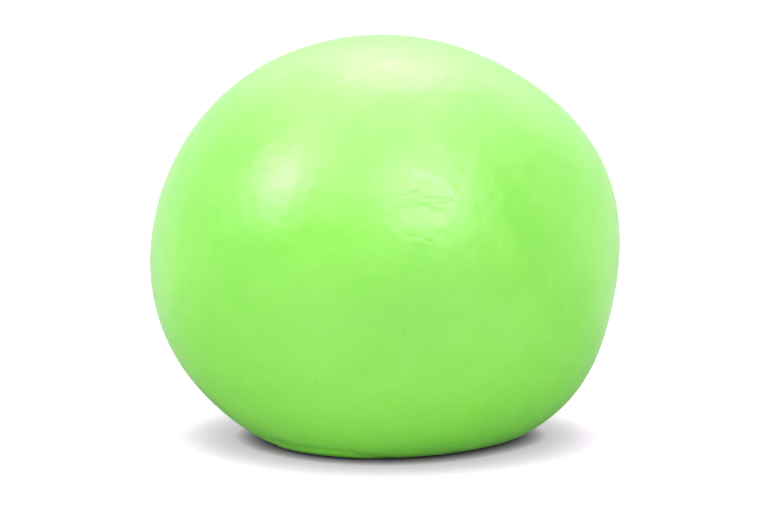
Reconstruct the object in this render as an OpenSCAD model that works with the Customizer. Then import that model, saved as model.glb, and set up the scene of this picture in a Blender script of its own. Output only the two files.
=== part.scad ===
// Squeeze ball: a seamless rubber skin full of heavy dough, closed by a glued plug under a rubber seal.
// Millimetres, +Z up. The origin is on the surface the ball rests on, and the front faces -Y.
// A bearing is in degrees from the front towards +X, and a height angle is in degrees above level.

/* [Ball] */
// Radius of the ball before it sags
ball_radius = 33; // [28:0.5:40]
// How far the ball has sunk onto its resting face
sag = 4.6; // [4:0.2:7]
// Wall of the rubber skin
skin_wall = 2; // [1.6:0.1:3]
// How gently the side curves into the resting face
foot_softness = 1.2; // [0.6:0.1:1.8]

/* [Hand-squeezed lumps] */
// How far the top is pressed in
crown_dip = 2; // [0:0.1:4]
// How far the left side bulges
left_bulge = 1.5; // [0:0.1:3]
// How far the right side bulges
right_bulge = 2.2; // [0:0.1:4]
// How far the lower right bulges
low_right_bulge = 2.8; // [0:0.1:4]

/* [Filling port] */
// Bearing of the port
port_bearing = 12; // [-60:1:60]
// Height angle of the port, seen from the ball's middle
port_height = 20; // [-10:1:60]
// Radius of the seat that takes the plug's head and the seal
seat_radius = 5.2; // [4.6:0.1:6]
// Depth of that seat
seat_depth = 1.5; // [1.3:0.1:1.6]
// Radius of the filling hole
hole_radius = 2.6; // [2.4:0.1:3]
// Depth of the filling hole through the collar
hole_length = 3; // [2.5:0.1:4]

/* [Plug] */
// Radius of the plug's head
head_radius = 4.4; // [3.8:0.1:4.5]
// Radius of the plug's shank
shank_radius = 2.2; // [1.8:0.1:2.2]
// Radius of the barb that stops the plug coming out
barb_radius = 3.3; // [3.1:0.1:3.6]
// Length of the barb
barb_length = 3.3; // [2.5:0.1:4]

/* [Smoothness] */
// Steps round the outside
outer_steps = 96; // [48:8:104]
// Steps round the cavity and the filling
inner_steps = 60; // [40:4:64]

/* [Hidden] */
$fn = 72;
middle_height = ball_radius - sag;
glue_film = 0.15;
seat_clearance = 0.05;
filling_clearance = 0.05;
barb_pocket_clearance = 0.3;
barb_standoff = 0.2;
barb_tip_radius = 1.4;
head_thickness = 0.8;
seal_crown = 0.2;
seal_edge = 0.15;
collar_radius = seat_radius + 1;
collar_flare = 1.2;
cut_margin = 10;

// Each lump is its bearing, its height angle, how far it rises and how widely it spreads in degrees.
lumps = [
    [0, 90, -crown_dip, 50],
    [-90, -20, left_bulge, 32],
    [90, 12, right_bulge, 32],
    [90, -38, low_right_bulge, 24]
];

// Node to draw, or all of them

// ---- The ball's shape ----

function toward(bearing, height) =
    [cos(height) * sin(bearing), -cos(height) * cos(bearing), sin(height)];

function angle_between(a, b) = acos(max(-1, min(1, a * b)));

function rise_of(lump, direction) =
    lump[2] * exp(-pow(angle_between(direction, toward(lump[0], lump[1])) / lump[3], 2));

function all_rises(direction, i = 0) =
    i == len(lumps) ? 0 : rise_of(lumps[i], direction) + all_rises(direction, i + 1);

// Distance from the ball's middle to a surface that lies inset inside the skin.
function reach(direction, inset) = ball_radius - inset + all_rises(direction);

// Height above the floor once the floor holds a point up. It is smooth, and truly flat below.
function settled(height) =
    height > foot_softness ? height :
    height < -foot_softness ? 0 :
    pow(height + foot_softness, 2) / (4 * foot_softness);

function surface_point(direction, inset) =
    let (free = [0, 0, middle_height] + reach(direction, inset) * direction)
    [free.x, free.y, inset + settled(free.z - inset)];

// The height angle of the last ring, which lies wholly on the flat.
function foot_angle(inset) =
    -asin((middle_height - inset + 2 * foot_softness) / (ball_radius - inset));

// The ball's whole closed form, drawn inset inside the skin's outside.
module lumpy_ball(inset, steps) {
    rows = round(steps * 0.45);
    drop = (90 - foot_angle(inset)) / rows;
    rings = [
        for (row = [1:rows])
            for (i = [0:steps - 1])
                surface_point(toward(i * 360 / steps, 90 - row * drop), inset)
    ];
    points = concat([surface_point([0, 0, 1], inset)], rings);
    cap = [for (i = [0:steps - 1]) [0, 1 + (i + 1) % steps, 1 + i]];
    sides = [
        for (row = [0:rows - 2])
            for (i = [0:steps - 1])
                let (
                    a = 1 + row * steps + i,
                    b = 1 + row * steps + (i + 1) % steps
                )
                each [[a, b, a + steps], [b, b + steps, a + steps]]
    ];
    foot = [[for (i = [0:steps - 1]) 1 + (rows - 1) * steps + i]];
    polyhedron(points, concat(cap, sides, foot));
}

// ---- The port, drawn with its axis on Z and z = 0 at the skin's outside ----

module at_port() {
    translate([0, 0, middle_height])
        rotate([0, 0, port_bearing])
            rotate([90 - port_height, 0, 0])
                translate([0, 0, reach(toward(port_bearing, port_height), 0)])
                    children();
}

hole_end = -seat_depth - hole_length;
head_underside = -seat_depth + glue_film;
head_top = head_underside + head_thickness;
barb_start = hole_end - barb_standoff;
seat_fill_radius = seat_radius - seat_clearance;
hole_fill_radius = hole_radius - seat_clearance;
// How far the ball's surface falls away from the port's axis at the seat's edge.
seat_fall = ball_radius - sqrt(pow(ball_radius, 2) - pow(seat_fill_radius, 2));

// The stiffening collar inside the skin, grown by a clearance where the filling goes round it.
module collar(clearance) {
    translate([0, 0, hole_end - clearance])
        cylinder(
            h = hole_length + seat_depth,
            r1 = collar_radius + clearance,
            r2 = collar_radius + collar_flare + clearance
        );
}

// The seat and the filling hole, as one cut.
module port_opening() {
    translate([0, 0, -seat_depth])
        cylinder(h = seat_depth + cut_margin, r = seat_radius);
    translate([0, 0, hole_end - cut_margin])
        cylinder(h = hole_length + seat_depth + cut_margin, r = hole_radius);
}

// ---- The pieces ----

// The moulded skin, with its seat, its filling hole and the collar round them.
module outer_skin() {
    color([0.56, 0.93, 0.36])
        difference() {
            lumpy_ball(0, outer_steps);
            difference() {
                lumpy_ball(skin_wall, inner_steps);
                at_port() collar(0);
            }
            at_port() port_opening();
        }
}

// The dough, which fills the cavity round the collar and the plug's barb.
module dough_filling() {
    color([0.93, 0.95, 0.86])
        difference() {
            lumpy_ball(skin_wall + filling_clearance, inner_steps);
            at_port() {
                collar(filling_clearance);
                translate([0, 0, barb_start - barb_length - barb_pocket_clearance])
                    cylinder(
                        h = barb_length + barb_standoff + 2 * barb_pocket_clearance,
                        r = barb_radius + barb_pocket_clearance
                    );
            }
        }
}

// The plug: a flat head, a shank through the collar, and a barb inside it.
module fill_plug() {
    color([0.50, 0.86, 0.32])
        at_port()
            rotate_extrude()
                polygon([
                    [0, head_top],
                    [head_radius, head_top],
                    [head_radius, head_underside],
                    [shank_radius, head_underside],
                    [shank_radius, barb_start],
                    [barb_radius, barb_start],
                    [barb_tip_radius, barb_start - barb_length],
                    [0, barb_start - barb_length]
                ]);
}

// The glue: round the head's rim, under the head, and down the shank.
module plug_glue() {
    color([0.90, 0.88, 0.70])
        at_port()
            rotate_extrude()
                polygon([
                    [head_radius, head_top],
                    [seat_fill_radius, head_top],
                    [seat_fill_radius, -seat_depth],
                    [hole_fill_radius, -seat_depth],
                    [hole_fill_radius, hole_end],
                    [shank_radius, hole_end],
                    [shank_radius, head_underside],
                    [head_radius, head_underside]
                ]);
}

// The rubber seal over the plug, domed to carry on the ball's curve.
module seal_patch() {
    rim_height = seal_edge - seat_fall;
    dome_rise = seal_crown - rim_height;
    dome_radius = (pow(seat_fill_radius, 2) + pow(dome_rise, 2)) / (2 * dome_rise);
    color([0.62, 0.94, 0.44])
        at_port()
            intersection() {
                translate([0, 0, head_top])
                    cylinder(h = seal_crown - head_top, r = seat_fill_radius);
                translate([0, 0, seal_crown - dome_radius])
                    sphere(r = dome_radius, $fn = 360);
            }
}

outer_skin();
dough_filling();
fill_plug();
plug_glue();
seal_patch();
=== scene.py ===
"""A filled squeeze ball: moulded rubber skin, dough, plug, glue and a wrinkled rubber seal.

Every length in this file is in millimetres until put() scales it to the frame's metres.
A bearing is in degrees from the front (-Y) towards +X; a height angle is in degrees above level.
"""

import math

import bpy
import numpy as np
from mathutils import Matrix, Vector


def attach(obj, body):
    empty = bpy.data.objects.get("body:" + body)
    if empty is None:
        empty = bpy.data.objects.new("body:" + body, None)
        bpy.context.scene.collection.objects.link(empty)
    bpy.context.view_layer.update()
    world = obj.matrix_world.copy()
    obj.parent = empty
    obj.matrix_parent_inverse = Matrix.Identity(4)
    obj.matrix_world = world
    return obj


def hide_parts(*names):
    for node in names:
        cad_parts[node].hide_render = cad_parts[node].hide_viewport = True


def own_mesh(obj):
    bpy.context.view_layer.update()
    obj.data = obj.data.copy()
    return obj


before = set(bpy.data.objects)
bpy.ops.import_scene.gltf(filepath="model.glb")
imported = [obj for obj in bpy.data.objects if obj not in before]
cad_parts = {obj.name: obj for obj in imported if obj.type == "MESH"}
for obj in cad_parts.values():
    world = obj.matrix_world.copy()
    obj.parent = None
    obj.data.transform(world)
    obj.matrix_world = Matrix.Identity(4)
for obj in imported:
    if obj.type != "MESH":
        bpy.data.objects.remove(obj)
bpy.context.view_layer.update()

MM = 0.001

# Blender's Mix node has a set of sockets for each kind of value. These are the ones for colours.
COLOUR_A = 6
COLOUR_B = 7
COLOUR_OUT = 2

# The ball's form, as the CAD model has it.
BALL_RADIUS = 33.0
SAG = 4.6
SKIN_WALL = 2.0
FOOT_SOFTNESS = 1.2
MIDDLE_HEIGHT = BALL_RADIUS - SAG
PORT_BEARING = 12.0
PORT_HEIGHT = 20.0
SEAT_RADIUS = 5.2
SEAT_DEPTH = 1.5
HOLE_RADIUS = 2.6
HOLE_END = -4.5
HEAD_RADIUS = 4.4
HEAD_UNDERSIDE = -1.35
HEAD_TOP = -0.55
SHANK_RADIUS = 2.2
BARB_RADIUS = 3.3
BARB_START = -4.7
BARB_END = -8.0
BARB_TIP_RADIUS = 1.4
COLLAR_RADIUS = 6.2
COLLAR_FLARE_RADIUS = 7.4
SEAT_CLEARANCE = 0.05
DOUGH_CLEARANCE = 0.05
POCKET_CLEARANCE = 0.3

# Each lump: bearing, height angle, rise, spread in degrees.
LUMPS = [
    (0, 90, -2.0, 50),
    (-90, -20, 1.5, 32),
    (90, 12, 2.2, 32),
    (90, -38, 2.8, 24),
]
# Shallow dents and swells that fingers left in the dough, which bend the highlights.
FINGER_MARKS = [
    (-24, 22, 0.25, 12),
    (-48, 4, -0.20, 16),
    (2, -12, -0.15, 20),
    (38, -6, 0.15, 16),
    (16, 62, 0.20, 12),
    (44, 38, -0.18, 14),
    (-30, 58, 0.12, 16),
    (150, 20, 0.30, 20),
    (-140, 35, -0.25, 18),
    (180, -15, 0.20, 18),
    (110, 50, -0.20, 16),
]

# The fold along the foot. Its bearings are where it starts and where it fades out. The roll stands
# out at the foot, and the tuck above it goes in. The crease between them climbs from right to left.
FOLD_START = (-57, -52)
FOLD_FADE = (-10, 8)
FOLD_ROLL = 0.55
FOLD_TUCK = 0.45
FOLD_TUCK_WIDTH = 0.4
CREASE_LOW = 0.35
CREASE_CLIMB = 0.95
CREASE_CLIMB_BEARINGS = (6, -20)
CREASE_RIPPLE = 0.08
CREASE_RIPPLE_COUNT = 11
# How thick the roll is and how high the middle of the tuck is, as shares of the crease's height.
ROLL_SHARE = 0.75
TUCK_SHARE = 1.25
# The fold bends only skin that is further out than this, and lower than this.
FOOT_INNER_RADIUS = 12
FOOT_TOP = 6

# The seal's film reaches this far from the port's axis. Each wave of its edge is how far it reaches,
# how many go round, and the turn it starts at.
SMEAR_RADIUS = 7.4
SMEAR_WAVES = [
    (0.45, 2, 0.6),
    (0.30, 3, 2.0),
    (0.15, 7, 0.0),
]
# How far the film stands over the skin, how far it goes down to end inside the skin, the share of
# the way out at which it starts to, and how far its underside lies in the skin.
FILM_RISE = 0.008
FILM_EDGE_DROP = 0.016
FILM_EDGE_START = 0.84
FILM_UNDERSIDE = 0.04
# How far the skin's rim at the seat lies under the film, and how wide that rim is.
RIM_DROP = 0.05
RIM_WIDTH = 0.6
# How far the seal's disc stays under the skin's outside at the seat, and the rings of its flat
# underside, as shares of its radius.
DISC_LIP_DROP = 0.12
DISC_UNDERSIDE_SHARES = (0.88, 0.3)

# Small rounds on the moulded edges, on the plug's and the dough's, and on the glue's.
SEAT_ROUND = 0.25
PLUG_ROUND = 0.2
GLUE_ROUND = 0.06
# How far the glue dips at the seat's wall.
GLUE_DIP = 0.2
# Where the collar's flare meets the cavity's wall, and where the seat's wall ends, along the port's axis.
FLARE_END = -3.1
SEAT_WALL_END = -0.8
# How far outside the seat's wall the skin's first outer ring is, and how far outside the collar's
# flare the last rings of the cavity and of the dough are.
SEAT_EDGE_WIDTH = 0.12
CAVITY_FLARE_GAP = 0.4
DOUGH_FLARE_GAP = 0.6
# How far each form's nearest ring is, in radians, from the point straight behind the port.
SKIN_FAR_ANGLE = 0.02
CAVITY_FAR_ANGLE = 0.1
DOUGH_FAR_ANGLE = 0.03
# How far the dough's surface lies inside its cavity, and its kneaded waves: how high and how long.
DOUGH_SLACK = 0.2
LONG_KNEADING = (0.10, 9)
SHORT_KNEADING = (0.05, 3)

# Points round each piece's rings, and how many rings.
SKIN_COLUMNS = 336
CAVITY_ROWS = 22
SEAL_COLUMNS = 320
SEAL_ROWS = 92
DOUGH_COLUMNS = 160
DOUGH_ROWS = 90
PLUG_COLUMNS = 96
# The seal's first ring, as a share of the way to its edge.
SEAL_FIRST_SHARE = 0.011
# How far apart the rings of the skin's outside are: at least the scar's step, and at most the others.
SCAR_STEP = 0.09
FOOT_STEP = 0.3
FRONT_STEP = 0.55
BACK_STEP = 0.8
# Angles from the port's axis, in degrees: where the foot starts and ends, and where the back starts.
FOOT_STARTS = (68, 76)
FOOT_ENDS = (116, 122)
BACK_START = 112

# The arched ridge over the scar, along which a painted highlight pales the seal's colour. Its points are
# across and up from the port's axis.
ARCH = [(-1.1, 3.7), (0.2, 3.3), (1.4, 2.5), (2.7, 1.5), (3.8, 0.3)]
ARCH_HIGHLIGHT_WIDTH = 0.75
ARCH_HIGHLIGHT_STRENGTH = 0.36
# How the painted highlight wanders off the arch, and how much of it is even and how much ragged.
ARCH_WANDER = (0.15, 1.1)
ARCH_EVEN = 0.75
ARCH_RAGGED = (0.25, 0.9)
# The scar's relief fades out between these distances from the port's axis.
SCAR_FADE = (8.0, 9.5)
# How the scar's lines wander: how far, and in waves how long.
LINE_BEND = (0.13, 1.7)
LINE_SHIVER = (0.07, 0.7)
# The seal is puckered out to about this radius, coarsely and finely: how high, in waves how long.
# The waves are packed by these shares across and up.
PUCKER_RADIUS = 5.0
PUCKER_PACKING = (0.9, 1.3)
PUCKER_COARSE = (0.011, 1.3)
PUCKER_FINE = (0.004, 0.7)
# Ridges (+) and creases (-) of the scar: rise, width, then the line's points.
SCAR_LINES = [
    (0.060, 0.75, ARCH),
    (-0.180, 2.00, [(-1.5, -1.4), (1.2, -1.7)]),
    (-0.040, 0.42, [(-0.3, 2.4), (0.5, 2.1), (1.4, 1.7), (2.7, 0.4), (3.8, -0.6)]),
    (0.028, 0.40, [(-3.8, 1.0), (-2.4, 1.5), (-1.2, 2.0)]),
    (-0.018, 0.36, [(-3.4, 0.5), (-2.2, 0.7), (-0.9, 1.3)]),
    (-0.018, 0.30, [(-3.2, -0.1), (-1.5, 0.2), (0.1, 0.1)]),
    (0.030, 0.26, [(-2.1, 0.1), (-2.4, 0.3), (-2.8, 0.2), (-2.9, -0.3), (-2.5, -0.5), (-2.1, -0.4)]),
    (-0.048, 0.60, [(-2.3, -0.9), (-0.6, -1.5), (0.9, -1.9), (1.9, -2.5)]),
    (-0.014, 0.26, [(-1.9, -0.7), (-0.4, -1.2), (1.1, -1.5)]),
    (-0.030, 0.34, [(-2.2, 2.6), (-1.6, 3.1), (-1.1, 3.5)]),
    (0.024, 0.26, [(2.1, 0.8), (2.4, 0.7), (2.7, 0.4)]),
    (-0.024, 0.24, [(1.6, 1.2), (2.4, 1.2), (3.0, 0.6)]),
    (-0.028, 0.36, [(3.4, -0.4), (3.7, -0.7)]),
    (-0.026, 0.40, [(-3.2, -5.0), (-1.3, -5.4), (0.2, -6.2)]),
    (0.012, 0.45, [(1.9, -3.7), (2.4, -3.8)]),
    (0.012, 0.40, [(4.3, -1.8), (4.7, -2.8), (4.5, -3.8)]),
    (-0.012, 0.32, [(3.0, -4.2), (3.6, -4.4)]),
    (-0.012, 0.32, [(-7.9, 0.2), (-6.6, 0.2), (-5.2, 0.7)]),
    (0.014, 0.34, [(-7.6, 0.5), (-6.3, 0.5), (-5.0, 1.1)]),
    (0.016, 0.80, [(-3.4, 5.2), (-0.8, 5.7)]),
    (0.016, 0.80, [(5.6, 1.2), (5.8, -1.6)]),
]


# ---- Shape ----


def toward(bearing, height):
    """The unit vector at a bearing and a height angle."""
    b = math.radians(bearing)
    h = math.radians(height)
    return np.array([math.cos(h) * math.sin(b), -math.cos(h) * math.cos(b), math.sin(h)])


def smoothstep(low, high, x):
    """0 at low, 1 at high, and smooth between them."""
    t = np.clip((x - low) / (high - low), 0, 1)
    return t * t * (3 - 2 * t)


def lump_rise(directions, lumps):
    """How far the lumps lift the surface along each direction."""
    total = np.zeros(len(directions))
    for bearing, height, rise, spread in lumps:
        angle = np.degrees(np.arccos(np.clip(directions @ toward(bearing, height), -1, 1)))
        total += rise * np.exp(-((angle / spread) ** 2))
    return total


def settled(height):
    """Height above the floor once the floor holds a point up."""
    k = FOOT_SOFTNESS
    curved = (height + k) ** 2 / (4 * k)
    return np.where(height > k, height, np.where(height < -k, 0.0, curved))


PORT_AXIS = toward(PORT_BEARING, PORT_HEIGHT)
PORT_ACROSS = np.array(
    [math.cos(math.radians(PORT_BEARING)), math.sin(math.radians(PORT_BEARING)), 0.0]
)
PORT_UP = np.cross(PORT_AXIS, PORT_ACROSS)
PORT_REACH = BALL_RADIUS + lump_rise(PORT_AXIS[None], LUMPS)[0]
MIDDLE = np.array([0.0, 0.0, MIDDLE_HEIGHT])


def waves(points, size, seed, count=14):
    """Smooth wandering values of about -1 to 1, with waves about size long."""
    draw = np.random.default_rng(seed)
    ways = draw.normal(size=(count, 3))
    ways /= np.linalg.norm(ways, axis=1)[:, None]
    pitch = 2 * math.pi / (size * draw.uniform(0.7, 1.5, count))
    start = draw.uniform(0, 2 * math.pi, count)
    return np.cos(points @ ways.T * pitch + start).sum(1) / math.sqrt(count)


def ripple(points, shape, seed):
    """Waves of a shape, which is how high and how long they are."""
    height, length = shape
    return height * waves(points, length, seed)


def line_distance(across, up, line):
    """How far each place is from the nearest stretch of a broken line."""
    place = np.stack([across, up], 1)
    nearest = np.full(len(place), np.inf)
    for a, b in zip(line, line[1:]):
        a, b = np.array(a), np.array(b)
        along = b - a
        t = np.clip((place - a) @ along / (along @ along), 0, 1)
        nearest = np.minimum(nearest, np.linalg.norm(place - a - t[:, None] * along, axis=1))
    return nearest


def scar_relief(across, up):
    """The wrinkled seal's height over the ball's smooth curve."""
    radius = np.hypot(across, up)
    height = np.zeros(len(across))
    near = radius < SCAR_FADE[1]
    if not near.any():
        return height
    u, v = across[near], up[near]
    flat = np.stack([u, v, np.zeros(len(u))], 1)
    bent_u = u + ripple(flat, LINE_BEND, 3) + ripple(flat, LINE_SHIVER, 5)
    bent_v = v + ripple(flat, LINE_BEND, 4) + ripple(flat, LINE_SHIVER, 6)
    found = np.zeros(len(u))
    for rise, width, line in SCAR_LINES:
        found += rise * np.exp(-((line_distance(bent_u, bent_v, line) / width) ** 2))
    pucker = np.exp(-((radius[near] / PUCKER_RADIUS) ** 4))
    packed = np.stack([u * PUCKER_PACKING[0], v * PUCKER_PACKING[1], np.zeros(len(u))], 1)
    found += pucker * (ripple(packed, PUCKER_COARSE, 8) + ripple(packed, PUCKER_FINE, 9))
    height[near] = found * (1 - smoothstep(*SCAR_FADE, radius[near]))
    return height


def arch_painted_highlight(across, up):
    """How much painted highlight the rubber gets, from 0 to 1: most on the arch, and in ragged patches.
    """
    flat = np.stack([across, up, np.zeros(len(across))], 1)
    distance = line_distance(across, up, ARCH) + ripple(flat, ARCH_WANDER, 15)
    ragged = ARCH_EVEN + ripple(flat, ARCH_RAGGED, 16)
    return np.clip(ragged, 0, 1) * np.exp(-((distance / ARCH_HIGHLIGHT_WIDTH) ** 2))


def foot_fold(points):
    """Tucks the skin in above a small roll along the front left of the foot."""
    flat = np.hypot(points[:, 0], points[:, 1])
    bearing = np.degrees(np.arctan2(points[:, 0], -points[:, 1]))
    share = smoothstep(*FOLD_START, bearing) * (1 - smoothstep(*FOLD_FADE, bearing))
    climb = CREASE_CLIMB * smoothstep(*CREASE_CLIMB_BEARINGS, bearing)
    ripples = CREASE_RIPPLE * np.sin(np.radians(bearing) * CREASE_RIPPLE_COUNT)
    crease = CREASE_LOW + climb + ripples
    height = points[:, 2]
    roll = FOLD_ROLL * np.exp(-((height / (ROLL_SHARE * crease)) ** 2))
    tuck = FOLD_TUCK * np.exp(-(((height - TUCK_SHARE * crease) / FOLD_TUCK_WIDTH) ** 2))
    at_foot = (flat > FOOT_INNER_RADIUS) & (height < FOOT_TOP)
    push = np.where(at_foot, share * (roll - tuck), 0.0)
    outward = points[:, :2] / np.maximum(flat, 1e-6)[:, None]
    moved = points.copy()
    moved[:, :2] += outward * push[:, None]
    return moved


def ball_surface(directions, inset=0.0, detail=True):
    """The ball's surface along each direction from its middle, inset inside the skin."""
    rise = lump_rise(directions, LUMPS)
    if detail:
        rise = rise + lump_rise(directions, FINGER_MARKS)
    reach = BALL_RADIUS - inset + rise
    points = MIDDLE + directions * reach[:, None]
    points[:, 2] = inset + settled(points[:, 2] - inset)
    if detail:
        points = foot_fold(points)
    return points


def port_sides(columns):
    """Unit vectors square to the port's axis, all round it, and the turn of each in radians."""
    turn = np.arange(columns) * 2 * math.pi / columns
    side = np.outer(np.cos(turn), PORT_ACROSS) + np.outer(np.sin(turn), PORT_UP)
    return side, turn


def around_port(angle, columns):
    """Directions of one ring at an angle, in radians, from the port's axis, and the ring's turns."""
    side, turn = port_sides(columns)
    return math.cos(angle) * PORT_AXIS + math.sin(angle) * side, turn


def port_ring(radius, out, columns):
    """One ring round the port's axis, out from the ball's surface there."""
    side, _ = port_sides(columns)
    return MIDDLE + PORT_AXIS * (PORT_REACH + out) + side * radius


def skin_ring(angle, columns):
    """One ring of the skin's outside, with the scar's creases on it."""
    directions, turn = around_port(angle, columns)
    points = ball_surface(directions)
    arc = PORT_REACH * angle
    relief = scar_relief(arc * np.cos(turn), arc * np.sin(turn))
    rim_drop = RIM_DROP * (1 - smoothstep(SEAT_RADIUS, SEAT_RADIUS + RIM_WIDTH, arc))
    return points + directions * (relief - rim_drop)[:, None]


# ---- Meshes ----


def put(name, points, faces, body, node, material):
    """Makes the piece, in the frame's metres, in place of its CAD node."""
    mesh = bpy.data.meshes.new(name)
    corners = np.asarray(points) * MM
    mesh.from_pydata(corners.tolist(), [], faces)
    mesh.validate()
    mesh.shade_smooth()
    mesh.materials.append(material)
    piece = bpy.data.objects.new(name, mesh)
    bpy.context.scene.collection.objects.link(piece)
    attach(piece, body)
    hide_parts(node)
    return piece


def turned_outward(points, faces):
    """The faces, all flipped if they face inward. A sample of them is enough to tell."""
    volume = 0.0
    for face in faces[:: max(1, len(faces) // 20000)]:
        a, b, c = points[face[0]], points[face[1]], points[face[2]]
        volume += np.dot(a - MIDDLE, np.cross(b - MIDDLE, c - MIDDLE))
    if volume < 0:
        return [face[::-1] for face in faces]
    return faces


def ringed(first, rings, last):
    """Points and outward faces of a closed form: a first point, rings from it, and a last point."""
    columns = len(rings[0])
    points = np.vstack([first[None], *rings, last[None]])
    faces = []
    for i in range(columns):
        faces.append((0, 1 + (i + 1) % columns, 1 + i))
    for row in range(len(rings) - 1):
        base = 1 + row * columns
        for i in range(columns):
            j = (i + 1) % columns
            faces.append((base + i, base + j, base + columns + j, base + columns + i))
    base = 1 + (len(rings) - 1) * columns
    end = len(points) - 1
    for i in range(columns):
        faces.append((base + i, base + (i + 1) % columns, end))
    return points, turned_outward(points, faces)


def lathe_rings(profile, columns):
    """The rings that a profile of radius and height makes round the port's axis."""
    return [port_ring(radius, out, columns) for radius, out in profile]


def rounded(profile, size, steps=3):
    """The profile with each inner corner cut to a small round."""
    made = [profile[0]]
    for before, corner, after in zip(profile, profile[1:], profile[2:]):
        before, corner, after = map(np.array, (before, corner, after))
        length_in = np.linalg.norm(corner - before)
        length_out = np.linalg.norm(after - corner)
        cut = min(size, 0.45 * length_in, 0.45 * length_out)
        a = corner + (before - corner) / length_in * cut
        b = corner + (after - corner) / length_out * cut
        for i in range(steps + 1):
            t = i / steps
            made.append(tuple((1 - t) ** 2 * a + 2 * t * (1 - t) * corner + t * t * b))
    made.append(profile[-1])
    return made


def skin_angles(columns):
    """Angles from the port's axis for the skin's rings: close at the scar and at the foot."""
    angle = (SEAT_RADIUS + SEAT_EDGE_WIDTH) / PORT_REACH
    made = []
    while angle < math.pi - SKIN_FAR_ANGLE:
        made.append(angle)
        degrees = math.degrees(angle)
        step = math.sin(angle) * 2 * math.pi / columns
        coarse = FRONT_STEP if degrees < BACK_START else BACK_STEP
        at_foot = smoothstep(*FOOT_STARTS, degrees) * (1 - smoothstep(*FOOT_ENDS, degrees))
        coarse = coarse + (FOOT_STEP - coarse) * at_foot
        angle += max(min(step, coarse / BALL_RADIUS), SCAR_STEP / BALL_RADIUS)
    return made


def build_skin(material):
    """The skin, from the far end of its cavity, out through the port and round its outside."""
    columns = SKIN_COLUMNS
    far_inside = ball_surface(-PORT_AXIS[None], SKIN_WALL, detail=False)[0]
    far_outside = ball_surface(-PORT_AXIS[None])[0]
    flare = COLLAR_FLARE_RADIUS + CAVITY_FLARE_GAP
    collar_angle = math.asin(flare / (BALL_RADIUS - SKIN_WALL))
    inner = [
        ball_surface(around_port(angle, columns)[0], SKIN_WALL, detail=False)
        for angle in np.linspace(math.pi - CAVITY_FAR_ANGLE, collar_angle, CAVITY_ROWS)
    ]
    port = lathe_rings(
        rounded(
            [
                (COLLAR_FLARE_RADIUS, FLARE_END),
                (COLLAR_RADIUS, HOLE_END),
                (HOLE_RADIUS, HOLE_END),
                (HOLE_RADIUS, -SEAT_DEPTH),
                (SEAT_RADIUS, -SEAT_DEPTH),
                (SEAT_RADIUS, SEAT_WALL_END),
            ],
            SEAT_ROUND,
        ),
        columns,
    )
    outer = [skin_ring(angle, columns) for angle in skin_angles(columns)]
    points, faces = ringed(far_inside, inner + port + outer, far_outside)
    return put("skin", points, faces, "ball", "outer_skin", material)


def build_seal(material):
    """The cured rubber over the plug: a disc in the seat with a thin smear over the seat's edge."""
    columns = SEAL_COLUMNS
    side, turn = port_sides(columns)
    wander = sum(size * np.sin(count * turn + start) for size, count, start in SMEAR_WAVES)
    smear = SMEAR_RADIUS + wander
    top = []
    arch_highlight_paint = [np.zeros(1)]
    for share in np.linspace(SEAL_FIRST_SHARE, 1, SEAL_ROWS):
        radius = smear * share
        angle = radius / PORT_REACH
        directions = np.cos(angle)[:, None] * PORT_AXIS + np.sin(angle)[:, None] * side
        across = radius * np.cos(turn)
        up = radius * np.sin(turn)
        relief = scar_relief(across, up)
        film = FILM_RISE - FILM_EDGE_DROP * smoothstep(FILM_EDGE_START, 1, share)
        top.append(ball_surface(directions) + directions * (relief + film)[:, None])
        arch_highlight_paint.append(arch_painted_highlight(across, up))
    under = ball_surface(directions) + directions * (relief - FILM_UNDERSIDE)[:, None]
    disc = SEAT_RADIUS - SEAT_CLEARANCE
    disc_angle = disc / PORT_REACH
    lip_directions = around_port(disc_angle, columns)[0]
    lip = ball_surface(lip_directions) - lip_directions * DISC_LIP_DROP
    bottom = lathe_rings([(disc * share, HEAD_TOP) for share in DISC_UNDERSIDE_SHARES], columns)
    centre_rise = scar_relief(np.zeros(1), np.zeros(1))[0] + FILM_RISE
    centre_top = ball_surface(PORT_AXIS[None])[0] + PORT_AXIS * centre_rise
    centre_under = MIDDLE + PORT_AXIS * (PORT_REACH + HEAD_TOP)
    points, faces = ringed(centre_top, top + [under, lip] + bottom, centre_under)
    piece = put("seal", points, faces, "port", "seal_patch", material)
    seen = np.concatenate(arch_highlight_paint)
    hidden = np.zeros(len(points) - len(seen))
    # The seal's points carry how much painted highlight the colour gets along the arch.
    layer = piece.data.attributes.new("arch_highlight_paint", "FLOAT", "POINT")
    layer.data.foreach_set("value", np.concatenate([seen, hidden]))
    return piece


def build_plug(material):
    """The plug: a flat head, a shank and a barb."""
    profile = rounded(
        [
            (0.3, HEAD_TOP),
            (HEAD_RADIUS, HEAD_TOP),
            (HEAD_RADIUS, HEAD_UNDERSIDE),
            (SHANK_RADIUS, HEAD_UNDERSIDE),
            (SHANK_RADIUS, BARB_START),
            (BARB_RADIUS, BARB_START),
            (BARB_TIP_RADIUS, BARB_END),
            (0.3, BARB_END),
        ],
        PLUG_ROUND,
    )
    first = MIDDLE + PORT_AXIS * (PORT_REACH + HEAD_TOP)
    last = MIDDLE + PORT_AXIS * (PORT_REACH + BARB_END)
    points, faces = ringed(first, lathe_rings(profile, PLUG_COLUMNS), last)
    return put("plug", points, faces, "port", "fill_plug", material)


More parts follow.
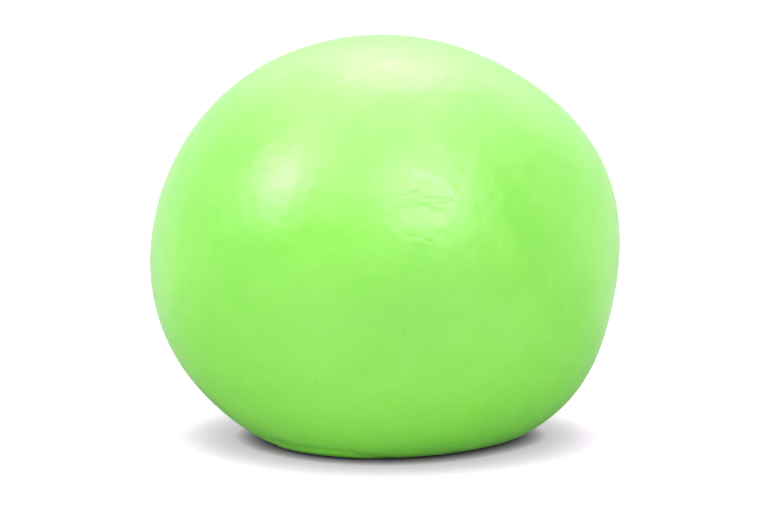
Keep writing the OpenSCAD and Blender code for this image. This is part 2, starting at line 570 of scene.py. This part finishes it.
def build_glue(material):
    """The glue is a ring, so its profile closes on itself."""
    seat = SEAT_RADIUS - SEAT_CLEARANCE
    hole = HOLE_RADIUS - SEAT_CLEARANCE
    profile = rounded(
        [
            (HEAD_RADIUS, HEAD_TOP),
            (seat, HEAD_TOP - GLUE_DIP),
            (seat, -SEAT_DEPTH),
            (hole, -SEAT_DEPTH),
            (hole, HOLE_END),
            (SHANK_RADIUS, HOLE_END),
            (SHANK_RADIUS, HEAD_UNDERSIDE),
            (HEAD_RADIUS, HEAD_UNDERSIDE),
            (HEAD_RADIUS, HEAD_TOP),
        ],
        GLUE_ROUND,
        steps=2,
    )[:-1]
    columns = PLUG_COLUMNS
    rings = lathe_rings(profile, columns)
    faces = []
    for row in range(len(rings)):
        for i in range(columns):
            j = (i + 1) % columns
            a = row * columns
            b = (row + 1) % len(rings) * columns
            faces.append((a + i, b + i, b + j, a + j))
    return put("glue", np.vstack(rings), faces, "port", "plug_glue", material)


def build_dough(material):
    """The dough fills the skin, round the collar and the plug's barb, with a kneaded surface."""
    columns = DOUGH_COLUMNS
    inset = SKIN_WALL + DOUGH_CLEARANCE
    collar_angle = math.asin((COLLAR_FLARE_RADIUS + DOUGH_FLARE_GAP) / (BALL_RADIUS - inset))
    rings = []
    for angle in np.linspace(math.pi - DOUGH_FAR_ANGLE, collar_angle, DOUGH_ROWS):
        directions = around_port(angle, columns)[0]
        points = ball_surface(directions, inset, detail=False)
        kneaded = ripple(points, LONG_KNEADING, 21) + ripple(points, SHORT_KNEADING, 22)
        rings.append(points + directions * np.minimum(kneaded - DOUGH_SLACK, 0)[:, None])
    pocket = BARB_RADIUS + POCKET_CLEARANCE
    gap = DOUGH_CLEARANCE
    rings += lathe_rings(
        rounded(
            [
                (COLLAR_FLARE_RADIUS + gap, FLARE_END - 2 * gap),
                (COLLAR_RADIUS + gap, HOLE_END - gap),
                (pocket, HOLE_END - gap),
                (pocket, BARB_END - POCKET_CLEARANCE),
                (0.4, BARB_END - POCKET_CLEARANCE),
            ],
            PLUG_ROUND,
        ),
        columns,
    )
    first = ball_surface(-PORT_AXIS[None], inset, detail=False)[0] + PORT_AXIS * DOUGH_SLACK
    last = MIDDLE + PORT_AXIS * (PORT_REACH + BARB_END - POCKET_CLEARANCE)
    points, faces = ringed(first, rings, last)
    return put("dough", points, faces, "ball", "dough_filling", material)


# ---- Materials ----


class Nodes:
    """A short way to make and link shader nodes."""

    def __init__(self, name):
        self.material = bpy.data.materials.new(name)
        self.material.use_nodes = True
        self.tree = self.material.node_tree
        self.shader = next(n for n in self.tree.nodes if n.type == "BSDF_PRINCIPLED")
        self.place = self.add("ShaderNodeTexCoord").outputs["Object"]

    def add(self, kind, **settings):
        node = self.tree.nodes.new(kind)
        for key, value in settings.items():
            setattr(node, key, value)
        return node

    def link(self, out, into):
        self.tree.links.new(out, into)

    def noise(self, size_mm, detail=3.0, roughness=0.55):
        """Soft noise of 0 to 1 with blotches of a size."""
        node = self.add("ShaderNodeTexNoise")
        node.inputs["Scale"].default_value = 1 / (size_mm * MM)
        node.inputs["Detail"].default_value = detail
        node.inputs["Roughness"].default_value = roughness
        self.link(self.place, node.inputs["Vector"])
        return node.outputs["Fac"]

    def span(self, value, low, high, to_low, to_high):
        """The value, smoothly carried over from one range to another."""
        node = self.add("ShaderNodeMapRange", interpolation_type="SMOOTHSTEP")
        for key, number in (
            ("From Min", low),
            ("From Max", high),
            ("To Min", to_low),
            ("To Max", to_high),
        ):
            node.inputs[key].default_value = number
        self.link(value, node.inputs["Value"])
        return node.outputs["Result"]

    def mix(self, share, first, second):
        """A colour that goes from the first to the second as the share goes from 0 to 1."""
        node = self.add("ShaderNodeMix", data_type="RGBA")
        for value, key in ((first, COLOUR_A), (second, COLOUR_B)):
            if isinstance(value, tuple):
                node.inputs[key].default_value = (*value, 1)
            else:
                self.link(value, node.inputs[key])
        self.link(share, node.inputs[0])
        return node.outputs[COLOUR_OUT]

    def maths(self, operation, first, second):
        """Two values put together. Each is a number or another node's output."""
        node = self.add("ShaderNodeMath", operation=operation)
        for value, key in ((first, 0), (second, 1)):
            if isinstance(value, (int, float)):
                node.inputs[key].default_value = value
            else:
                self.link(value, node.inputs[key])
        return node.outputs[0]

    def specks(self, spacing_mm, size_mm, seed_share):
        """Sparse round specks: 1 inside a speck and 0 outside."""
        cells = self.add("ShaderNodeTexVoronoi", feature="F1")
        cells.inputs["Scale"].default_value = 1 / (spacing_mm * MM)
        self.link(self.place, cells.inputs["Vector"])
        inside = self.span(cells.outputs["Distance"], 0, size_mm / spacing_mm, 1, 0)
        split = self.add("ShaderNodeSeparateColor")
        self.link(cells.outputs["Color"], split.inputs["Color"])
        chosen = self.maths("LESS_THAN", split.outputs[0], seed_share)
        return self.maths("MULTIPLY", inside, chosen)

    def bump(self, heights, normal=None):
        """Chains bumps: each is a height and its depth in millimetres."""
        for height, depth_mm in heights:
            node = self.add("ShaderNodeBump")
            node.inputs["Strength"].default_value = 1.0
            node.inputs["Distance"].default_value = depth_mm * MM
            self.link(height, node.inputs["Height"])
            if normal is not None:
                self.link(normal, node.inputs["Normal"])
            normal = node.outputs["Normal"]
        self.link(normal, self.shader.inputs["Normal"])

    def colour(self, out):
        self.link(out, self.shader.inputs["Base Color"])

    def roughness(self, out):
        self.link(out, self.shader.inputs["Roughness"])

    def fix(self, **values):
        """Sets numbers that are the same all over on the shader's own sockets."""
        for key, value in values.items():
            self.shader.inputs[key.replace("_", " ")].default_value = value


def linear(red, green, blue):
    """A colour given in 0 to 255 display numbers, as the shader wants it."""
    return tuple(
        v / 12.92 if v <= 0.04045 else ((v + 0.055) / 1.055) ** 2.4
        for v in (red / 255, green / 255, blue / 255)
    )


RUBBER_GREEN = linear(131, 229, 52)
RUBBER_DEEP = linear(123, 225, 42)
RUBBER_PALE = linear(143, 232, 74)
# The colour of the highlight painted along the scar's arch.
ARCH_HIGHLIGHT_COLOUR = linear(180, 246, 172)
RUBBER_ROUGHNESS = (0.38, 0.48)
# A dark colour painted into the pinholes' dents as their shade.
PINHOLE_SHADE = linear(62, 120, 40)
DUST = linear(205, 250, 180)


def green_rubber(name, painted_arch_highlight=False):
    """Translucent thermoplastic rubber: cloudy colour, dented pinholes darkened with painted shade, dust
    and a fine satin skin.

    With the painted arch highlight on, the colour pales towards a painted highlight along the scar's
    arch, by the share that the mesh's points carry.
    """
    m = Nodes(name)
    clouds = m.span(m.noise(15, 4), 0.35, 0.68, 0, 1)
    wisps = m.span(m.noise(4, 5), 0.42, 0.7, 0, 1)
    colour = m.mix(clouds, RUBBER_GREEN, RUBBER_DEEP)
    colour = m.mix(m.maths("MULTIPLY", wisps, 0.35), colour, RUBBER_PALE)
    pit_dents_and_shade = m.specks(3.1, 0.17, 0.16)
    dust = m.specks(2.3, 0.12, 0.10)
    # Painted shade: the pinholes are darkened where they are dented.
    colour = m.mix(m.maths("MULTIPLY", pit_dents_and_shade, 0.7), colour, PINHOLE_SHADE)
    colour = m.mix(m.maths("MULTIPLY", dust, 0.6), colour, DUST)
    if painted_arch_highlight:
        # Painted highlight: the colour pales along the scar's arch by the share on the mesh's points.
        painted_highlight_mask = m.add("ShaderNodeAttribute", attribute_name="arch_highlight_paint").outputs["Fac"]
        share = m.maths("MULTIPLY", painted_highlight_mask, ARCH_HIGHLIGHT_STRENGTH)
        colour = m.mix(share, colour, ARCH_HIGHLIGHT_COLOUR)
    m.colour(colour)
    patches = m.span(m.noise(7, 4), 0.35, 0.7, *RUBBER_ROUGHNESS)
    m.roughness(m.maths("ADD", patches, m.span(m.noise(0.8, 2), 0.3, 0.7, -0.03, 0.03)))
    m.bump(
        [
            (m.noise(4.2, 1.5), 0.40),
            (m.noise(2.2, 1), 0.08),
            (m.noise(1.0, 1), 0.02),
            (m.noise(0.4, 2), 0.008),
            (pit_dents_and_shade, -0.12),
            (dust, 0.05),
        ]
    )
    m.fix(
        IOR=1.6,
        Specular_IOR_Level=1.0,
        Coat_Weight=1.0,
        Coat_IOR=1.68,
        Coat_Roughness=0.36,
        Sheen_Weight=0.2,
        Sheen_Roughness=0.4,
        Sheen_Tint=(0.6, 1.0, 0.45, 1),
    )
    return m.material


def plain_rubber(name, colour, pale, rough):
    """Moulded rubber in two close shades, for the plug."""
    m = Nodes(name)
    m.colour(m.mix(m.span(m.noise(2.2, 4), 0.35, 0.7, 0, 1), colour, pale))
    m.roughness(m.span(m.noise(1.2, 3), 0.3, 0.7, rough - 0.06, rough + 0.06))
    m.bump([(m.noise(0.5, 3), 0.02)])
    m.fix(Subsurface_Weight=0.2, Subsurface_Scale=0.001, Subsurface_Radius=(0.7, 1.0, 0.35))
    return m.material


def cured_glue():
    """Yellowish glue, partly clear."""
    m = Nodes("cured_glue")
    clouds = m.span(m.noise(1.5, 3), 0.3, 0.7, 0, 1)
    m.colour(m.mix(clouds, linear(232, 226, 190), linear(244, 240, 214)))
    m.roughness(m.span(m.noise(0.9, 3), 0.3, 0.7, 0.2, 0.38))
    m.bump([(m.noise(0.7, 3), 0.03)])
    m.fix(Transmission_Weight=0.25, IOR=1.49)
    return m.material


def floury_dough():
    """Matt off-white dough with a few darker grains."""
    m = Nodes("floury_dough")
    clouds = m.span(m.noise(8, 5), 0.35, 0.7, 0, 1)
    colour = m.mix(clouds, linear(243, 242, 226), linear(232, 236, 206))
    grains = m.maths("MULTIPLY", m.specks(1.5, 0.2, 0.3), 0.4)
    m.colour(m.mix(grains, colour, linear(214, 210, 180)))
    m.roughness(m.span(m.noise(1.4, 4), 0.3, 0.7, 0.7, 0.92))
    m.bump([(m.noise(4, 5), 0.25), (m.noise(0.6, 3), 0.05)])
    m.fix(Subsurface_Weight=0.3, Subsurface_Scale=0.002, Subsurface_Radius=(1.0, 0.9, 0.7))
    return m.material


# ---- Pieces ----

skin = build_skin(green_rubber("skin_rubber"))
seal = build_seal(green_rubber("seal_rubber", painted_arch_highlight=True))
plug = build_plug(plain_rubber("plug_rubber", linear(122, 214, 76), linear(140, 226, 92), 0.5))
glue = build_glue(cured_glue())
dough = build_dough(floury_dough())

# Each piece gets a mesh of its own. The list pairs each piece with the height it would flatten about if
# the ball were
# squeezed: the floor for the skin and the dough, and the port's height for the port's pieces. Nothing
# here flattens them.
port_height = float(MIDDLE[2] + PORT_REACH * PORT_AXIS[2]) * MM
flattened = [
    (skin, 0),
    (dough, 0),
    (seal, port_height),
    (plug, port_height),
    (glue, port_height),
]
for piece, anchor_height in flattened:
    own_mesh(piece)


# ---- Floor, light and camera ----


WHITE = (1, 1, 1, 1)
# How bright the room is, where white paper in full light is 1: behind the ball, in front of it, and
# in front of it as the ball's gloss mirrors it.
ROOM_BACK = 0.85
ROOM_FRONT = 0.42
ROOM_FRONT_MIRRORED = 0.21
# How bright the room looks to the camera, so that it comes out pure white.
ROOM_SEEN = 1.1
# Where the room turns from front to back, as the Y part of the way to it.
ROOM_TURN = (-0.45, 0.8)
# The board's colour: in the light that it throws back up, as the ball's gloss mirrors it in front and
# behind, and as the camera sees it. The seen board is a little pink, to cancel the green light that
# the ball sheds into its shadow.
FLOOR_BOUNCE = (1.04, 1.04, 1.04, 1)
FLOOR_MIRRORED_FRONT = (0.12, 0.12, 0.12, 1)
FLOOR_MIRRORED_BACK = (0.50, 0.50, 0.50, 1)
FLOOR_SEEN = (0.80, 0.65, 0.86, 1)
# The painted glare: a glow that the board gives the camera alone, which lifts the shadow in such an
# overexposed picture.
FLOOR_PAINTED_GLARE = (0.46, 0.44, 0.46, 1)
# How far behind the ball's middle the mirrored board reaches its full brightness.
FLOOR_TURN = 60
# How far from the ball the painted shade on the seen board reaches, and how far the ball holds the
# painted glare off.
FLOOR_SHADE_REACH = 9
FLOOR_PAINTED_GLARE_REACH = 2.2
FLOOR_RADIUS = 250
FLOOR_SIDES = 128
# Each softbox: bearing, height angle, distance, size and brightness.
SOFTBOXES = {
    "ceiling": (-10, 65, 480, 800, 0.25),
    "ceiling_front": (-10, 50, 480, 520, 0.31),
    "top_box": (171, 70, 480, 800, 0.54),
    "top_core": (171, 66, 480, 260, 1.45),
    "left_upper": (-61, 47, 450, 150, 2.2),
    "left_lower": (-64, 32, 450, 180, 4.0),
    "right_box": (29, 37, 500, 400, 1.25),
    "right_core": (35, 32, 500, 220, 0.7),
}
# A softbox that lights the right side and isn't mirrored in the ball.
SIDE_BOXES = {
    "side_right": (105, 8, 450, 420, 0.35),
}

CAMERA_LENS = 141.5
CAMERA_HEIGHT_ANGLE = 9
CAMERA_DISTANCE = 450
CAMERA_AIM = (1.05, 0, MIDDLE_HEIGHT - 2.09)
# Stops of exposure that set the ball's brightness.
EXPOSURE = -0.04


def behind_share(tree, place, start, end):
    """0 before start and 1 after end, along the Y of a place."""
    split = tree.nodes.new("ShaderNodeSeparateXYZ")
    share = tree.nodes.new("ShaderNodeMapRange")
    share.inputs["From Min"].default_value = start
    share.inputs["From Max"].default_value = end
    tree.links.new(place, split.inputs[0])
    tree.links.new(split.outputs["Y"], share.inputs["Value"])
    return share


def mixed(tree, share, first, second):
    """A colour that goes from the first to the second as the share goes from 0 to 1."""
    node = tree.nodes.new("ShaderNodeMix")
    node.data_type = "RGBA"
    tree.links.new(share, node.inputs[0])
    for value, key in ((first, COLOUR_A), (second, COLOUR_B)):
        if isinstance(value, tuple):
            node.inputs[key].default_value = value
        else:
            tree.links.new(value, node.inputs[key])
    return node.outputs[COLOUR_OUT]


def painted_shade_near_ball(tree, colour, reach):
    """A colour with painted shade: it darkens, by ambient occlusion, where the ball is within reach."""
    painted_shade_node = tree.nodes.new("ShaderNodeAmbientOcclusion")
    painted_shade_node.inputs["Color"].default_value = colour
    painted_shade_node.inputs["Distance"].default_value = reach * MM
    return painted_shade_node.outputs["Color"]


def pale_board():
    """The floor's material, which has its own colour for each kind of ray that reaches it."""
    material = bpy.data.materials.new("pale_board")
    material.use_nodes = True
    tree = material.node_tree
    tree.nodes.clear()
    rays = tree.nodes.new("ShaderNodeLightPath")
    place = tree.nodes.new("ShaderNodeTexCoord").outputs["Object"]
    behind = behind_share(tree, place, 0, FLOOR_TURN * MM)
    mirrored = mixed(tree, behind.outputs["Result"], FLOOR_MIRRORED_FRONT, FLOOR_MIRRORED_BACK)
    bounced = mixed(tree, rays.outputs["Is Glossy Ray"], FLOOR_BOUNCE, mirrored)
    # The board that the camera sees gets painted shade where the ball is near.
    seen = painted_shade_near_ball(tree, FLOOR_SEEN, FLOOR_SHADE_REACH)
    matt = tree.nodes.new("ShaderNodeBsdfDiffuse")
    # The painted glare: the board glows for the camera alone.
    painted_glare = tree.nodes.new("ShaderNodeEmission")
    both = tree.nodes.new("ShaderNodeAddShader")
    out = tree.nodes.new("ShaderNodeOutputMaterial")
    tree.links.new(mixed(tree, rays.outputs["Is Camera Ray"], bounced, seen), matt.inputs["Color"])
    tree.links.new(painted_shade_near_ball(tree, FLOOR_PAINTED_GLARE, FLOOR_PAINTED_GLARE_REACH), painted_glare.inputs["Color"])
    tree.links.new(rays.outputs["Is Camera Ray"], painted_glare.inputs["Strength"])
    tree.links.new(matt.outputs[0], both.inputs[0])
    tree.links.new(painted_glare.outputs[0], both.inputs[1])
    tree.links.new(both.outputs[0], out.inputs["Surface"])
    return material


def build_floor():
    """A round pale board. The camera sees it overexposed to white, but for the contact shadow, which
    painted shade near the ball deepens and a painted glare lifts.
    """
    mesh = bpy.data.meshes.new("floor")
    turn = np.arange(FLOOR_SIDES) * 2 * math.pi / FLOOR_SIDES
    edge = np.stack([np.cos(turn), np.sin(turn), 0 * turn], 1) * FLOOR_RADIUS * MM
    mesh.from_pydata(edge.tolist(), [], [tuple(range(FLOOR_SIDES))])
    mesh.materials.append(pale_board())
    floor = bpy.data.objects.new("floor", mesh)
    bpy.context.scene.collection.objects.link(floor)


def softbox(name, place, mirrored):
    """A square softbox aimed at the ball's middle."""
    bearing, height, distance, size, brightness = place
    light = bpy.data.lights.new(name, "AREA")
    light.shape = "SQUARE"
    light.size = size * MM
    light.energy = 4 * brightness * light.size**2
    box = bpy.data.objects.new(name, light)
    way = Vector(toward(bearing, height))
    box.location = Vector(MIDDLE * MM) + way * distance * MM
    box.rotation_euler = way.to_track_quat("Z", "Y").to_euler()
    box.visible_glossy = mirrored
    bpy.context.scene.collection.objects.link(box)


def build_room():
    """A room that lights the ball from all round, most from behind, and looks white to the camera."""
    world = bpy.data.worlds.new("white_room")
    bpy.context.scene.world = world
    world.use_nodes = True
    tree = world.node_tree
    fill = tree.nodes["Background"]
    fill.inputs["Color"].default_value = WHITE
    seen = tree.nodes.new("ShaderNodeBackground")
    seen.inputs["Color"].default_value = WHITE
    seen.inputs["Strength"].default_value = ROOM_SEEN
    rays = tree.nodes.new("ShaderNodeLightPath")
    front = tree.nodes.new("ShaderNodeMix")
    front.inputs["A"].default_value = ROOM_FRONT
    front.inputs["B"].default_value = ROOM_FRONT_MIRRORED
    tree.links.new(rays.outputs["Is Glossy Ray"], front.inputs["Factor"])
    way = tree.nodes.new("ShaderNodeTexCoord").outputs["Generated"]
    behind = behind_share(tree, way, *ROOM_TURN)
    behind.interpolation_type = "SMOOTHSTEP"
    strength = tree.nodes.new("ShaderNodeMix")
    strength.inputs["B"].default_value = ROOM_BACK
    tree.links.new(front.outputs["Result"], strength.inputs["A"])
    tree.links.new(behind.outputs["Result"], strength.inputs["Factor"])
    tree.links.new(strength.outputs["Result"], fill.inputs["Strength"])
    mix = tree.nodes.new("ShaderNodeMixShader")
    tree.links.new(rays.outputs["Is Camera Ray"], mix.inputs[0])
    tree.links.new(fill.outputs[0], mix.inputs[1])
    tree.links.new(seen.outputs[0], mix.inputs[2])
    tree.links.new(mix.outputs[0], tree.nodes["World Output"].inputs["Surface"])


def build_lights():
    """The room and every softbox."""
    build_room()
    for name, place in SOFTBOXES.items():
        softbox(name, place, mirrored=True)
    for name, place in SIDE_BOXES.items():
        softbox(name, place, mirrored=False)


def build_camera():
    """A long lens, a little above the ball's middle, which looks slightly to its right."""
    camera = bpy.data.objects.new("camera", bpy.data.cameras.new("camera"))
    bpy.context.scene.collection.objects.link(camera)
    bpy.context.scene.camera = camera
    camera.data.sensor_width = 36
    camera.data.lens = CAMERA_LENS
    back = Vector(toward(0, CAMERA_HEIGHT_ANGLE))
    camera.location = (Vector(CAMERA_AIM) + back * CAMERA_DISTANCE) * MM
    camera.rotation_euler = back.to_track_quat("Z", "Y").to_euler()
    camera.data.clip_start = 0.01


build_floor()
build_lights()
build_camera()
bpy.context.scene.view_settings.view_transform = "Standard"
bpy.context.scene.view_settings.exposure = EXPOSURE
